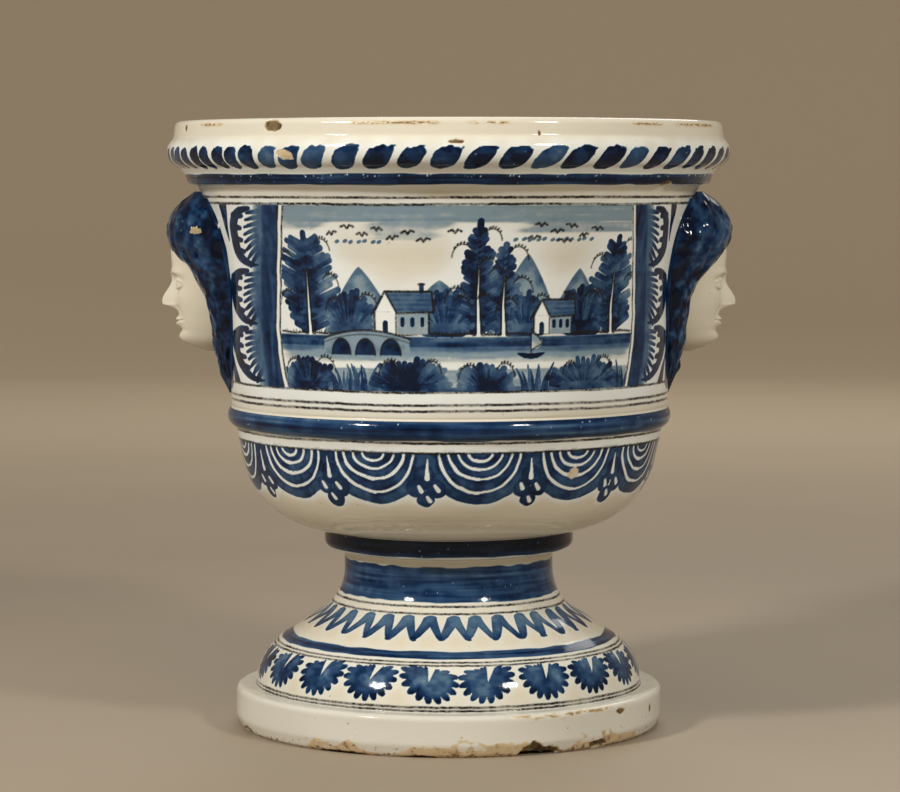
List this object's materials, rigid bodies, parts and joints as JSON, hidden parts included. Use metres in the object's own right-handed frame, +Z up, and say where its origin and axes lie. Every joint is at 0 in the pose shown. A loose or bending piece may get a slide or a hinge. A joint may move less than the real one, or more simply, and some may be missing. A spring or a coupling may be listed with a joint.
{
  "type": "cachepot",
  "caption": "Urn-shaped tin-glazed cachepot on a hollow pedestal foot, with a moulded rim, a belt and a moulded mask on each side; holds a potted plant.",
  "frame": {"origin": "centre of the plinth's underside, on the axis of the pot", "axes": "+Z up along the axis of the pot, +X through the right mask, -Y out of the pictured front"},
  "size_m": [0.2882, 0.2794, 0.3],
  "materials": {
    "white_tin_glaze": "glossy tin glaze on buff earthenware",
    "cobalt_glaze": "cobalt brushed on tin glaze, glossy"
  },
  "bodies": {
    "root": {"plinth_ring": "white_tin_glaze", "pedestal_foot": "white_tin_glaze", "collar_ring": "cobalt_glaze", "lower_bowl": "white_tin_glaze", "upper_wall": "white_tin_glaze", "belt_moulding": "cobalt_glaze", "rim_ring": "white_tin_glaze", "right_mask_face": "white_tin_glaze", "right_mask_hood": "cobalt_glaze", "left_mask_face": "white_tin_glaze", "left_mask_hood": "cobalt_glaze"}
  },
  "joints": []
}
